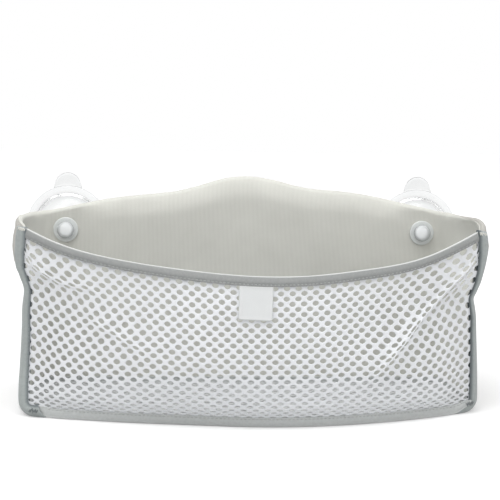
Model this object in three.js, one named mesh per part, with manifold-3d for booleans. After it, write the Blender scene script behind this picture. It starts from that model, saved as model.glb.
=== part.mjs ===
import * as THREE from "three";
import { mergeVertices } from "three/addons/utils/BufferGeometryUtils.js";
import Module from "manifold-3d";

// A soft basket for bath toys: a padded band makes the back and the sides, a net closes the front
// and the floor, folded tapes bind every edge, and two suction cups hold the back to a wall.
// Millimetres. X runs across, Y towards the wall and Z up. The outer face of the back lies on y = 0
// until the whole part is centred at the end.

const wasm = await Module();
wasm.setup();

// Front panel
const frontHalfWidth = 192; // centre line to the bound side edge, at the base
const seamDepth = 100; // outer face of the back to the side edges of the front panel
const cornerHeight = 152; // rim at the two front corners
const rimDip = 31; // how far the middle of the rim hangs below the corners
const baseBow = 52; // how far the middle of the front stands ahead of its side edges, at the base
const rimBow = 50; // the same, at the rim
const bellyBulge = 12; // extra bow half way up
const waistHeight = 98; // where the sides are drawn in most
const waistPinch = 4.5; // how far they are drawn in there
const topFlare = 7.5; // how far they spread again up to the corners

// Padded band
const backCornerInset = 18; // side edge of the front panel to the end of the straight back
const backCornerReach = 26; // length of the handle that rounds the back corner
const backCornerRise = 9; // top edge at the back corners, above the front corners
const archRise = 18; // top edge at the middle of the back, above the back corners
const crestRise = 11; // raised hump on the middle of the arch
const crestHalfWidth = 70;
const sideBulge = 7; // how far the padded sides puff out behind the front edges, low down
const sideFlare = 9; // further puff above the waist
const flareHeight = 35; // how far above the waist it is full
const puffDepth = 22; // how far behind the front edges the puff is drawn
const footRun = 28; // how far back from the front edges the base is turned up
const bandInset = 1.5; // bound side edge of the front panel to the outer face of the band
const clothThickness = 0.9;
const foamThickness = 3;
const liningThickness = 0.9;

// Net and tapes
const netThickness = 1;
const floorLift = 3; // underside of the floor above the ground
const tapeThickness = 1;
const rimTapeWidth = 8.2;
const baseTapeWidth = 8;
const cornerTapeWidth = 9.4;
const cornerRound = 11; // rounded lower end of a corner tape
const lobeReach = 3; // how far the foot of a corner tape turns in along the base
const lobeHeight = 12;
const topSlant = 3.2; // how far the top end of a corner tape falls towards the rim tape
const slantHeight = 12;

// Label and bar tacks
const labelSize = 27;
const labelThickness = 1.2;
const tackLength = 7;
const tackWidth = 3;
const tackThickness = 0.8;
const tackInset = 2; // end of a tack to the outer edge of its tape
const rimTackDrop = 2.4; // top of a corner tape to the middle of its tack
const baseTackRise = 5;
const baseTackInset = 9;

// Suction cups and eyelets
const cupInset = 13; // end of the straight back to a cup's axis
const cupDrop = 19; // top edge at the back corners to the axes
const cupRadius = 37.5;
const cupDomeRadius = 28.7;
const cupLipWidth = 7;
const cupLipThickness = 2;
const cupCavity = 10;
const wallGap = 20; // outer face of the back to the wall
const shoulderRadius = 10;
const stemRadius = 4.5;
const knobRadius = 7.5;
const knobLength = 5.5;
const knobRound = 2.2;
const tabWidth = 25;
const tabReach = 12.5; // how far the pull tab stands out of the disc
const tabThickness = 2.2;
const eyeletWall = 1.5;
const eyeletFlangeRadius = 11;
const eyeletFlangeThickness = 1.5;
const washerThickness = 1.2;

// Clearances
const clearance = 0.3; // between neighbours
const foldClearance = 0.4; // between a tape and what it is folded over

// Sizes that follow
const netHalf = netThickness / 2;
const tapeInside = netHalf + foldClearance;
const tapeOutside = tapeInside + tapeThickness;
const netInset = tapeThickness + foldClearance;
const bandThickness = clothThickness + foamThickness + liningThickness + 2 * clearance;
const backFlatHalf = frontHalfWidth - backCornerInset;
const backCornerHeight = cornerHeight + backCornerRise;
const cupX = backFlatHalf - cupInset;
const cupZ = backCornerHeight - cupDrop;
const barrelRadius = stemRadius + clearance + eyeletWall;
const washerFace = clearance + washerThickness;
const flangeFace = -(bandThickness + clearance + eyeletFlangeThickness);

const mix = THREE.MathUtils.lerp;
const ramp = (value, from, to) => THREE.MathUtils.smoothstep(value, from, to);
const steps = (from, to, count) => Array.from({ length: count + 1 }, (_, k) => mix(from, to, k / count));

// Solids

// Turns the faces of a closed surface outwards.
function closedSurface(points, faces) {
  let volume = 0;
  for (let k = 0; k < faces.length; k += 3) {
    const [a, b, c] = [points[faces[k]], points[faces[k + 1]], points[faces[k + 2]]];
    volume += a.dot(b.clone().cross(c));
  }
  const geometry = new THREE.BufferGeometry().setFromPoints(points);
  geometry.setIndex(volume < 0 ? faces.slice().reverse() : faces);
  return geometry;
}

// Sweeps a closed outline through a row of stations. place gives the point of one outline corner.
// Each quad is split along its shorter diagonal, so that neighbouring layers are split alike. The
// outline runs up one face and back down the other, and its two ends are closed from face to face.
function loft(stations, outline, place) {
  const ring = outline.length;
  const points = stations.flatMap((station) => outline.map((corner) => place(station, corner)));
  const faces = [];
  for (let s = 0; s + 1 < stations.length; s++) {
    for (let k = 0; k < ring; k++) {
      const a = s * ring + k;
      const b = s * ring + ((k + 1) % ring);
      const [c, d] = [b + ring, a + ring];
      const rising = points[a].distanceTo(points[c]) < points[b].distanceTo(points[d]);
      faces.push(...(rising ? [a, b, c, a, c, d] : [a, b, d, b, c, d]));
    }
  }
  const last = (stations.length - 1) * ring;
  for (let k = 0; k + 1 < ring / 2; k++) {
    const [a, b, c, d] = [k, k + 1, ring - 2 - k, ring - 1 - k];
    faces.push(c, b, a, d, c, a);
    faces.push(...[a, b, c, a, c, d].map((corner) => last + corner));
  }
  return closedSurface(points, faces);
}

// Gives a flat pattern of triangles two skins and walls along all its open edges.
function thickSheet(pattern, triangles, place, half) {
  const count = pattern.length;
  const points = [half, -half].flatMap((offset) => pattern.map((spot) => place(spot.x, spot.y, offset)));
  const faces = [];
  const edges = new Set();
  for (const [a, b, c] of triangles) {
    faces.push(a, b, c, count + c, count + b, count + a);
    for (const edge of [`${a} ${b}`, `${b} ${c}`, `${c} ${a}`]) edges.add(edge);
  }
  for (const edge of edges) {
    const [a, b] = edge.split(" ").map(Number);
    if (edges.has(`${b} ${a}`)) continue;
    faces.push(b, a, count + a, b, count + a, count + b);
  }
  return closedSurface(points, faces);
}

// A staggered net of six-sided gaps over the unit square. place maps the square to the cloth.
function net(columns, rows, place) {
  const gapWidth = 0.62;
  const gapHeight = 0.52;
  const pattern = [];
  const numbers = new Map();
  const triangles = [];
  const vertex = (i, j) => {
    const name = `${i.toFixed(3)} ${j.toFixed(3)}`;
    if (!numbers.has(name)) {
      numbers.set(name, pattern.length);
      pattern.push(new THREE.Vector2(i / (2 * columns), j / (2 * rows)));
    }
    return numbers.get(name);
  };
  for (let j = 0; j <= 2 * rows; j++) {
    for (let i = 1 - (j % 2); i <= 2 * columns; i += 2) {
      const inside = i > 0 && i < 2 * columns && j > 0 && j < 2 * rows;
      const around = [[-1, 0], [0, -1], [1, 0], [0, 1]].filter(
        ([di, dj]) => i + di >= 0 && i + di <= 2 * columns && j + dj >= 0 && j + dj <= 2 * rows,
      );
      const corners = around.map(([di, dj]) => vertex(i + di, j + dj));
      if (!inside) {
        triangles.push(corners);
        continue;
      }
      const [left, low, right, high] = corners;
      const [east, northEast, northWest, west, southWest, southEast] = steps(0, 5, 5).map((k) =>
        vertex(i + gapWidth * Math.cos((k * Math.PI) / 3), j + gapHeight * 1.1547 * Math.sin((k * Math.PI) / 3)),
      );
      triangles.push(
        [left, southWest, west], [left, low, southWest], [low, southEast, southWest],
        [low, right, southEast], [right, east, southEast], [right, northEast, east],
        [right, high, northEast], [high, northWest, northEast], [high, left, northWest], [left, west, northWest],
      );
    }
  }
  return thickSheet(pattern, triangles, place, netHalf);
}

function toSolid(geometry) {
  const bare = new THREE.BufferGeometry().setAttribute("position", geometry.getAttribute("position"));
  bare.setIndex(geometry.index);
  const merged = mergeVertices(bare, 1e-4);
  const triVerts = new Uint32Array(merged.index.array);
  return new wasm.Manifold(
    new wasm.Mesh({ numProp: 3, vertProperties: merged.attributes.position.array, triVerts }),
  );
}

function toGeometry(solid) {
  const mesh = solid.getMesh();
  const geometry = new THREE.BufferGeometry();
  geometry.setAttribute("position", new THREE.BufferAttribute(mesh.vertProperties, 3));
  return geometry.setIndex(new THREE.BufferAttribute(mesh.triVerts, 1));
}

const cut = (geometry, tools) =>
  toGeometry(tools.reduce((solid, tool) => solid.subtract(toSolid(tool)), toSolid(geometry)));
const join = (first, second) => toGeometry(toSolid(first).add(toSolid(second)));

// A ring or knob turned about the Y axis. The profile runs from low y to high y on its outside.
const turned = (profile, segments) =>
  new THREE.LatheGeometry(profile.map(([radius, y]) => new THREE.Vector2(radius, y)), segments);

// Front panel: u runs from -1 to 1 across it

const panelHalf = (z) =>
  frontHalfWidth - waistPinch * ramp(z, 0, waistHeight) + topFlare * ramp(z, waistHeight, cornerHeight);
const rimHeight = (u) => cornerHeight - rimDip * (1 - u * u);

function panelBow(u, z) {
  const share = z / rimHeight(u);
  return mix(baseBow, rimBow, share) + bellyBulge * Math.sin(Math.PI * share);
}

const panelSlope = (u, z) => (2 * panelBow(u, z) * u) / panelHalf(z);

// A point of the panel's middle surface, moved level along its normal. A positive offset is forwards.
function frontPoint(u, z, offset) {
  const slope = panelSlope(u, z);
  const shift = offset / Math.hypot(slope, 1);
  const x = u * panelHalf(z) + slope * shift;
  const y = -seamDepth - panelBow(u, z) * (1 - u * u) - shift;
  return new THREE.Vector3(x, y, z);
}

// Distance from the centre line to the bound side edge, which is rounded at its foot.
function edgeHalf(z) {
  const low = Math.max(0, cornerRound - z);
  return panelHalf(z) - cornerRound + Math.sqrt(cornerRound ** 2 - low ** 2);
}

const cornerTapeReach = (z) => cornerTapeWidth + lobeReach * (1 - ramp(z, lobeHeight / 2, lobeHeight));
const insideTape = (z) => (edgeHalf(z) - cornerTapeReach(z) - clearance) / panelHalf(z);

// A tape folded over the net's edge, as distance from the fold and offset from the net's middle.
const foldedTape = (width) =>
  [
    [width, tapeOutside], [0, tapeOutside], [0, -tapeOutside], [width, -tapeOutside],
    [width, -tapeInside], [tapeThickness, -tapeInside], [tapeThickness, tapeInside], [width, tapeInside],
  ].map(([reach, offset]) => new THREE.Vector2(reach, offset));

const netColumns = 17;
const netRows = 6;
const tapeSteps = 2 * netColumns;

function frontNet() {
  const place = (across, up, offset) => {
    const side = 2 * across - 1;
    const top = rimHeight(side * (1 - netInset / panelHalf(cornerHeight))) - netInset;
    const z = mix(netInset, top, up);
    return frontPoint((side * (edgeHalf(z) - netInset)) / panelHalf(z), z, offset);
  };
  return net(netColumns, netRows, place);
}

function rimTape() {
  const end = insideTape(cornerHeight);
  const place = (u, spot) => frontPoint(u, rimHeight(u) - spot.x, spot.y);
  return loft(steps(-end, end, tapeSteps), foldedTape(rimTapeWidth), place);
}

// Its ends are cut on a slant, to lie along the feet of the corner tapes.
function frontBaseTape() {
  const place = (share, spot) => frontPoint(share * insideTape(spot.x), spot.x, spot.y);
  return loft(steps(-1, 1, tapeSteps), foldedTape(baseTapeWidth), place);
}

// The top end of a corner tape is cut on a slant, in line with the rim.
const slantDrop = (z, reach) =>
  topSlant * (reach / cornerTapeWidth) * ramp(z, cornerHeight - slantHeight, cornerHeight);

function cornerTape(side) {
  const foot = steps(0, Math.PI / 2, 4).map((angle) => cornerRound * (1 - Math.cos(angle)));
  const heights = [...foot, ...steps(cornerRound, cornerHeight, 22).slice(1)];
  const place = (z, spot) => {
    const reach = spot.x === cornerTapeWidth ? cornerTapeReach(z) : spot.x;
    return frontPoint((side * (edgeHalf(z) - reach)) / panelHalf(z), z - slantDrop(z, reach), spot.y);
  };
  return loft(heights, foldedTape(cornerTapeWidth), place);
}

function label() {
  const top = labelSize + rimTapeWidth + clearance;
  const near = netHalf + clearance;
  const drops = steps(rimTapeWidth + clearance, top, 3);
  const outline = [
    ...drops.map((drop) => new THREE.Vector2(drop, near)),
    ...drops.toReversed().map((drop) => new THREE.Vector2(drop, near + labelThickness)),
  ];
  const place = (x, spot) => {
    const u = x / panelHalf(rimHeight(0));
    return frontPoint(u, rimHeight(u) - spot.x, spot.y);
  };
  return loft(steps(-labelSize / 2, labelSize / 2, 6), outline, place);
}

// A short block of stitches across a corner tape.
function barTack(side, height, inset) {
  const near = tapeOutside + clearance;
  const outline = [
    [-tackWidth / 2, near], [tackWidth / 2, near],
    [tackWidth / 2, near + tackThickness], [-tackWidth / 2, near + tackThickness],
  ].map(([rise, offset]) => new THREE.Vector2(rise, offset));
  const place = (reach, spot) => {
    const u = (side * (edgeHalf(height) - reach)) / panelHalf(height);
    return frontPoint(u, height + spot.x - slantDrop(height, reach), spot.y);
  };
  return loft(steps(inset, inset + tackLength, 2), outline, place);
}

// Padded band: side and share say where a station lies, from the left front edge round to the right

const backSteps = 20;
const sideShares = [0, 0.05, 0.1, 0.18, ...steps(0.3, 1, 5)];
const bandStations = [
  ...sideShares.map((share) => ({ side: -1, share })),
  ...steps(-1, 1, backSteps).slice(1, -1).map((share) => ({ side: 0, share })),
  ...sideShares.toReversed().map((share) => ({ side: 1, share })),
];

// Next to the front edges the band's lower edge turns up, behind the rounded feet of the corner tapes.
function footLift({ side, share }) {
  return side === 0 ? 0 : cornerRound * Math.max(0, 1 - (share * seamDepth) / footRun) ** 2;
}

// The right side's outer line at one height, from the front edge to the straight back.
function sideLine(z) {
  const flare = sideFlare * ramp(z, waistHeight, waistHeight + flareHeight);
  const start = frontPoint(1 - bandInset / panelHalf(z), z, -(tapeOutside + 2 * clearance));
  return new THREE.CubicBezierCurve(
    new THREE.Vector2(start.x, start.y),
    new THREE.Vector2(panelHalf(z) + sideBulge + flare, puffDepth - seamDepth),
    new THREE.Vector2(backFlatHalf + backCornerReach + flare, 0),
    new THREE.Vector2(backFlatHalf, 0),
  );
}

// A point of the band. depth is measured inwards from its outer face. Next to the front panel the
// cut end of the band lies along the panel.
function bandPoint({ side, share }, z, depth) {
  if (side === 0) return new THREE.Vector3(share * backFlatHalf, -depth, z);
  const line = sideLine(z);
  const spot = line.getPoint(share);
  const along = line.getTangent(share);
  const inward = new THREE.Vector2(-along.y, along.x);
  const panel = new THREE.Vector2(-1, -panelSlope(1, z));
  const slant = (panel.dot(along) / panel.dot(inward)) * (1 - ramp(share, 0, 0.4));
  spot.addScaledVector(inward, depth).addScaledVector(along, depth * slant);
  return new THREE.Vector3(side * spot.x, spot.y, z);
}

function bandTop({ side, share }) {
  if (side !== 0) return mix(cornerHeight, backCornerHeight, share);
  const x = Math.min(Math.abs(share) * backFlatHalf, crestHalfWidth);
  const crest = crestRise * 0.5 * (1 + Math.cos((Math.PI * x) / crestHalfWidth));
  return backCornerHeight + archRise * (1 - share * share) + crest;
}

const bandLevels = [0, 0.32, 0.63, 0.76, 0.88];

// One layer of the band between two depths. capDepth carries its top over the layers behind it.
function bandLayer(near, far, drop, capDepth) {
  const outline = [];
  const spots = [];
  const add = (depth, level, below) => {
    outline.push(new THREE.Vector2(depth, cornerHeight * level - below));
    spots.push({ level, below });
  };
  for (const level of bandLevels) add(near, level, 0);
  add(near, 1, drop);
  if (capDepth > far) {
    add(capDepth, 1, drop);
    add(capDepth, 1, drop + clothThickness);
    add(far, 1, drop + clothThickness);
  } else {
    add(far, 1, drop);
  }
  for (const level of bandLevels.toReversed()) add(far, level, 0);
  const place = (station, corner) => {
    const { level, below } = spots[outline.indexOf(corner)];
    return bandPoint(station, mix(netInset + footLift(station), bandTop(station), level) - below, corner.x);
  };
  return cut(loft(bandStations, outline, place), eyeletHoles());
}

function eyeletHoles() {
  return [-1, 1].map((side) => {
    const hole = new THREE.CylinderGeometry(barrelRadius + clearance, barrelRadius + clearance, 4 * bandThickness, 20);
    return hole.translate(side * cupX, -bandThickness / 2, cupZ);
  });
}

function baseTape() {
  const inner = bandThickness + foldClearance;
  const outline = [
    [-foldClearance - tapeThickness, baseTapeWidth], [-foldClearance - tapeThickness, 0],
    [inner + tapeThickness, 0], [inner + tapeThickness, baseTapeWidth],
    [inner, baseTapeWidth], [inner, tapeThickness],
    [-foldClearance, tapeThickness], [-foldClearance, baseTapeWidth],
  ].map(([depth, z]) => new THREE.Vector2(depth, z));
  return loft(bandStations, outline, (station, spot) => bandPoint(station, footLift(station) + spot.y, spot.x));
}

// The floor fills the ring of base tapes. Its side edges follow the band and its front edge the panel.
function floorNet() {
  const middle = floorLift + netHalf;
  const edgeDepth = bandThickness + foldClearance + tapeThickness + clearance;
  const sideEdge = (share) => bandPoint({ side: 1, share }, middle, edgeDepth);
  const corner = sideEdge(0);
  const halfAt = (y) => {
    let [low, high] = [0, 1];
    for (let k = 0; k < 24; k++) {
      const share = (low + high) / 2;
      if (sideEdge(share).y < y) low = share;
      else high = share;
    }
    return sideEdge(high).x;
  };
  const place = (across, back, offset) => {
    const side = 2 * across - 1;
    const front = frontPoint((side * corner.x) / panelHalf(middle), middle, -(tapeOutside + clearance));
    const edge = mix(corner.y, -edgeDepth, back);
    const bow = (1 - back) ** 2;
    const x = mix(side * halfAt(edge), front.x, bow);
    const y = edge + bow * (front.y - corner.y);
    return new THREE.Vector3(x, y, middle + offset);
  };
  return net(12, 4, place);
}

// Suction cups and eyelets, about the Y axis

function suctionCup() {
  const shoulder = washerFace + clearance;
  const knobFace = flangeFace - clearance;
  const lipBack = wallGap - cupLipThickness;
  const domeBase = lipBack - cupLipThickness / 2;
  const dome = steps(0, Math.PI / 2, 5).map((angle) => [
    mix(shoulderRadius, cupDomeRadius, Math.sin(angle)),
    mix(shoulder, domeBase, 1 - Math.cos(angle)),
  ]);
  const cavity = steps(0, Math.PI / 2, 4).map((angle) => [
    (cupRadius - cupLipWidth) * Math.cos(angle),
    wallGap - cupCavity * Math.sin(angle),
  ]);
  cavity[cavity.length - 1][0] = 0;
  const body = turned(
    [
      [0, knobFace - knobLength], [knobRadius - knobRound, knobFace - knobLength],
      [knobRadius, knobFace - knobLength + knobRound], [knobRadius, knobFace], [stemRadius, knobFace],
      [stemRadius, shoulder], ...dome, [cupRadius, lipBack], [cupRadius, wallGap], ...cavity,
    ],
    28,
  );
  const outline = new THREE.Shape();
  const root = cupRadius - cupLipWidth / 2;
  outline.moveTo(-tabWidth / 2, root);
  outline.lineTo(tabWidth / 2, root);
  outline.absellipse(0, cupRadius, tabWidth / 2, tabReach, 0, Math.PI, false);
  const tab = new THREE.ExtrudeGeometry(outline, { depth: tabThickness, bevelEnabled: false, curveSegments: 8 });
  tab.rotateX(Math.PI / 2);
  tab.translate(0, wallGap - clearance, 0);
  return join(body, tab);
}

function eyelet() {
  const bore = stemRadius + clearance;
  const seat = flangeFace + eyeletFlangeThickness;
  const profile = [
    [bore, flangeFace], [eyeletFlangeRadius, flangeFace], [eyeletFlangeRadius, seat],
    [barrelRadius, seat], [barrelRadius, washerFace], [bore, washerFace], [bore, flangeFace],
  ];
  return turned(profile, 24);
}

function eyeletWasher() {
  const bore = barrelRadius + clearance;
  const profile = [
    [bore, clearance], [eyeletFlangeRadius, clearance], [eyeletFlangeRadius, washerFace],
    [bore, washerFace], [bore, clearance],
  ];
  return turned(profile, 24);
}

// Materials

const finish = (color, roughness) => new THREE.MeshStandardMaterial({ color, roughness, metalness: 0 });
const clearFinish = (color, roughness, opacity) =>
  new THREE.MeshStandardMaterial({ color, roughness, metalness: 0, transparent: true, opacity });

// Assembly

const basket = new THREE.Group();

function add(name, geometry, material, x = 0, z = 0) {
  const mesh = new THREE.Mesh(geometry, material);
  mesh.name = name;
  mesh.position.set(x, 0, z);
  basket.add(mesh);
}

const foamNear = clothThickness + clearance;
const liningNear = foamNear + foamThickness + clearance;
const coreDrop = clothThickness + clearance;

add("outer_cloth", bandLayer(0, clothThickness, 0, bandThickness), finish(0xb9b7b1, 0.92));
add("foam_core", bandLayer(foamNear, foamNear + foamThickness, coreDrop, 0), finish(0xe6e4da, 0.95));
add("inner_lining", bandLayer(liningNear, bandThickness, coreDrop, 0), finish(0xd6d6cf, 0.92));
add("base_binding", baseTape(), finish(0x9fa2a1, 0.88));
add("front_mesh", frontNet(), finish(0xe9ebee, 0.7));
add("floor_mesh", floorNet(), finish(0xe9ebee, 0.7));
add("front_rim_binding", rimTape(), finish(0xa8aaa8, 0.88));
add("front_bottom_binding", frontBaseTape(), finish(0xa3a4a4, 0.88));
add("front_label", label(), finish(0xdfe2e2, 0.6));

for (const [name, side] of [["left", -1], ["right", 1]]) {
  add(`${name}_corner_binding`, cornerTape(side), finish(0xa0a6a5, 0.88));
  add(`${name}_rim_bar_tack`, barTack(side, cornerHeight - rimTackDrop, tackInset), finish(0xd6d8d6, 0.7));
  add(`${name}_base_bar_tack`, barTack(side, baseTackRise, baseTackInset), finish(0xd6d8d6, 0.7));
  add(`${name}_suction_cup`, suctionCup(), clearFinish(0xf2f4f4, 0.12, 0.4), side * cupX, cupZ);
  add(`${name}_eyelet`, eyelet(), finish(0xdcdedd, 0.35), side * cupX, cupZ);
  add(`${name}_eyelet_washer`, eyeletWasher(), finish(0xdcdedd, 0.35), side * cupX, cupZ);
}

// The origin is the middle of the footprint, on the ground.
const box = new THREE.Box3().setFromObject(basket);
basket.position.y = -(box.min.y + box.max.y) / 2;

export default basket;
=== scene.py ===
import math
from functools import partial

import bmesh
import bpy
from mathutils import Matrix, Vector, noise


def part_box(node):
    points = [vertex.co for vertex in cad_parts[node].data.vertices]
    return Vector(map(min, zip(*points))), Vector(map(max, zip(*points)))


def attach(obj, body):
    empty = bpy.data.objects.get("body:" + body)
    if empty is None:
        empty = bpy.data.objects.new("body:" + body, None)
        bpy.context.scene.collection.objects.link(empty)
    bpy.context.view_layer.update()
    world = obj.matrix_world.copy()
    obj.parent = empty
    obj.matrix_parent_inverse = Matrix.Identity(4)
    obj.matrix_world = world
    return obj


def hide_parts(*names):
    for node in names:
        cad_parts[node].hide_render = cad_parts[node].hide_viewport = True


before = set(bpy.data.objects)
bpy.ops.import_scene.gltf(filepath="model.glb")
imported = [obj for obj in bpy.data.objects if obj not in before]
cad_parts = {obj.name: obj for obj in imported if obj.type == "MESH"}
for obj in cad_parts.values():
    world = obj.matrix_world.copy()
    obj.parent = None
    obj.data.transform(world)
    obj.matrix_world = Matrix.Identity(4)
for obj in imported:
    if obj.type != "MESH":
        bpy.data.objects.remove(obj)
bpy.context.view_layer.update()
print("frame loaded with", len(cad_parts), "nodes")

# sewn shell, in metres; u runs from -1 to 1 across the front, y from the back's outer face
shell = {
    "frontHalf": 0.192,  # centre line to the front's side edge, at the base
    "seamDepth": 0.100,  # back to the front's side edges
    "cornerHeight": 0.152,
    "rimDip": 0.031,
    # the cloth hangs a little unevenly, and its corners are pulled up
    "rimSway": [(-0.32, 0.32, 0.0021), (0.28, 0.22, -0.0006), (0.70, 0.22, -0.0034),
                (-1.0, 0.15, 0.0040), (1.0, 0.25, 0.0056)],
    "baseBow": 0.052,
    "rimBow": 0.050,
    "belly": 0.012,
    "baseSway": [(-1.0, 0.25, 0.0105), (-0.28, 0.28, -0.0055)],  # its left foot is set forwards
    "swayHeight": 0.055,  # where that ends
    "waistHeight": 0.098,
    "waistPinch": 0.0045,
    "waistCrease": (0.0012, 0.009),  # depth and half height
    "topFlare": 0.0075,
    # the soft side edges stand unevenly: height and how far out, left and right
    "drift": {
        -1: [(0, -0.0012), (0.030, -0.0002), (0.055, 0.0003), (0.070, 0.0005), (0.093, 0.0012),
             (0.105, 0.0), (0.113, 0.0013), (0.121, 0.0031), (0.131, 0.0019), (0.143, -0.0007),
             (0.152, -0.0024)],
        1: [(0, 0.0010), (0.060, 0.0011), (0.080, 0.0010), (0.091, 0.0003), (0.097, -0.0006),
            (0.104, 0.0021), (0.112, 0.0035), (0.124, 0.0041), (0.136, 0.0038), (0.146, 0.0022),
            (0.152, 0.0008)],
    },
    "footRound": 0.012,
    "footRun": 0.028,
    "backInset": 0.018,
    "backReach": 0.026,
    "backRise": 0.009,
    "archRise": 0.018,
    "crestRise": 0.011,
    "crestHalf": 0.070,
    "topSway": [(-1.0, 0.26, -0.0028), (-0.50, 0.24, -0.0015), (0.52, 0.28, 0.0030)],
    "sideRise": {-1: [(0.36, 0.22, 0.0030)], 1: [(0.37, 0.24, 0.0041)]},  # over a straight top edge
    "tucked": {-1: 0.0032, 1: 0.0010},  # how far a side's front end is drawn inwards at its top
    "tuckHeights": (0.140, 0.154),
    "sideBulge": 0.007,
    "sideFlare": 0.009,
    "flareHeight": 0.035,  # above the waist, where the flare is full
    "flareFade": (0.5, 0.138, 0.160),  # share of it that is lost over these heights
    "puffDepth": 0.022,  # behind the front edges, where the sides puff out
    "puffShare": {-1: 0.65, 1: 1.0},
    "pinched": 0.35,  # share of the padding's thickness left in the front seams
    "bandInset": 0.0015,
    "bandBehind": 0.0025,  # the band's ends behind the front panel
    # shares of a side's depth, from its front edge, over which these fade
    "pinchRun": 0.2, "tuckRun": 0.3, "slantRun": 0.4, "driftRun": 0.8,
    "sideRun": 0.2,  # share of the band's length that one side takes
    "length": 0.572,  # band, from front edge round to front edge
}
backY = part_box("outer_cloth")[1].y
cupSpots = []
for label in ("left_eyelet", "right_eyelet"):
    low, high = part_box(label)
    cupSpots.append(Vector(((low.x + high.x) / 2, backY, (low.z + high.z) / 2)))


def mix(a, b, t):
    return a + (b - a) * t


def ramp(value, low, high):
    t = min(max((value - low) / (high - low), 0.0), 1.0)
    return t * t * (3 - 2 * t)


def bump(value, middle, width):
    return math.exp(-(((value - middle) / width) ** 2))


def ripple(x, y, seed):
    return noise.noise(Vector((x, y, seed)))


def sway(u, swings):
    return sum(height * bump(u, middle, width) for middle, width, height in swings)


# a value read off a list of heights and values
def readOff(rows, z):
    if z <= rows[0][0]:
        return rows[0][1]
    for (low, first), (high, second) in zip(rows, rows[1:]):
        if z <= high:
            return mix(first, second, ramp(z, low, high))
    return rows[-1][1]


def panelHalf(z):
    waist, top = shell["waistHeight"], shell["cornerHeight"]
    crease, half = shell["waistCrease"]
    drawnIn = shell["waistPinch"] * ramp(z, 0, waist) + crease * bump(z, waist, half)
    return shell["frontHalf"] - drawnIn + shell["topFlare"] * ramp(z, waist, top)


# centre line to the front's side edge, which is rounded at its foot
def edgeHalf(z):
    turn = shell["footRound"]
    low = max(0.0, turn - z)
    return panelHalf(z) - turn + math.sqrt(turn * turn - low * low)


def rimHeight(u):
    return shell["cornerHeight"] - shell["rimDip"] * (1 - u * u) + sway(u, shell["rimSway"])


def panelBow(u, z):
    share = z / rimHeight(u)
    return mix(shell["baseBow"], shell["rimBow"], share) + shell["belly"] * math.sin(math.pi * share)


# a point of the front, moved forwards by offset
def frontPoint(u, z, offset):
    slope = 2 * panelBow(u, z) * u / panelHalf(z)
    shift = offset / math.hypot(slope, 1)
    depth = shell["seamDepth"] + panelBow(u, z) * (1 - u * u) + shift
    depth += sway(u, shell["baseSway"]) * (1 - ramp(z, 0.0, shell["swayHeight"]))
    drift = readOff(shell["drift"][1 if u > 0 else -1], z) * u**3
    return Vector((u * panelHalf(z) + slope * shift + drift, backY - depth, z))


# a side's outer line at one height, as four handles on the right
def sideLine(z, side):
    waist = shell["waistHeight"]
    lost, low, high = shell["flareFade"]
    flare = shell["sideFlare"] * ramp(z, waist, waist + shell["flareHeight"])
    flare *= 1 - lost * ramp(z, low, high)
    puff = (shell["sideBulge"] + flare) * shell["puffShare"][side]
    start = frontPoint(side * (1 - shell["bandInset"] / panelHalf(z)), z, -shell["bandBehind"])
    backFlat = shell["frontHalf"] - shell["backInset"]
    return [
        Vector((side * start.x - readOff(shell["drift"][side], z), start.y)),
        Vector((panelHalf(z) + puff, backY + shell["puffDepth"] - shell["seamDepth"])),
        Vector((backFlat + shell["backReach"] + flare, backY)),
        Vector((backFlat, backY)),
    ]


def bandStation(along):
    run = shell["sideRun"]
    if along < run:
        return -1, along / run
    if along > 1 - run:
        return 1, (1 - along) / run
    return 0, (along - 0.5) / (0.5 - run)


# a point of the band, depth inwards from its outer face; its front ends lie along the front panel
def bandPoint(along, z, depth):
    side, share = bandStation(along)
    if side == 0:
        return Vector((share * (shell["frontHalf"] - shell["backInset"]), backY - depth, z))
    a, b, c, d = sideLine(z, side)
    depth *= mix(shell["pinched"], 1.0, ramp(share, 0, shell["pinchRun"]))
    t = share
    spot = a * (1 - t) ** 3 + b * 3 * t * (1 - t) ** 2 + c * 3 * t * t * (1 - t) + d * t**3
    run = ((b - a) * (1 - t) ** 2 + (c - b) * 2 * t * (1 - t) + (d - c) * t * t).normalized()
    inward = Vector((-run.y, run.x))
    panel = Vector((-1, -2 * panelBow(1, z) / panelHalf(z)))
    slant = panel.dot(run) / panel.dot(inward) * (1 - ramp(share, 0, shell["slantRun"]))
    spot = spot + inward * depth + run * depth * slant
    drift = readOff(shell["drift"][side], z) * (1 - ramp(share, 0, shell["driftRun"]))
    drift -= shell["tucked"][side] * ramp(z, *shell["tuckHeights"]) * (1 - ramp(share, 0, shell["tuckRun"]))
    return Vector((side * (spot.x + drift), spot.y, z))


def bandTop(along):
    side, share = bandStation(along)
    cornerTop = shell["cornerHeight"] + shell["backRise"]
    if side:
        straight = mix(shell["cornerHeight"], cornerTop + sway(side, shell["topSway"]), share)
        return straight + sway(share, shell["sideRise"][side])
    x = min(abs(share) * (shell["frontHalf"] - shell["backInset"]), shell["crestHalf"])
    crest = shell["crestRise"] * 0.5 * (1 + math.cos(math.pi * x / shell["crestHalf"]))
    return cornerTop + shell["archRise"] * (1 - share * share) + crest + sway(share, shell["topSway"])


# next to the front edges the base turns up, behind the rounded feet
def footLift(along):
    side, share = bandStation(along)
    if not side:
        return 0.0
    return shell["footRound"] * max(0.0, 1 - share * shell["seamDepth"] / shell["footRun"]) ** 2


# new nodes stand in one row under the shader
nodeStep = 200
nodeDrop = 700


# an input takes a value, or the socket that feeds it
def feed(socket, value):
    if isinstance(value, bpy.types.NodeSocket):
        socket.id_data.links.new(value, socket)
    else:
        socket.default_value = value


def setInputs(node, **values):
    for key, value in values.items():
        feed(node.inputs[key.replace("_", " ")], value)
    return node


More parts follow.
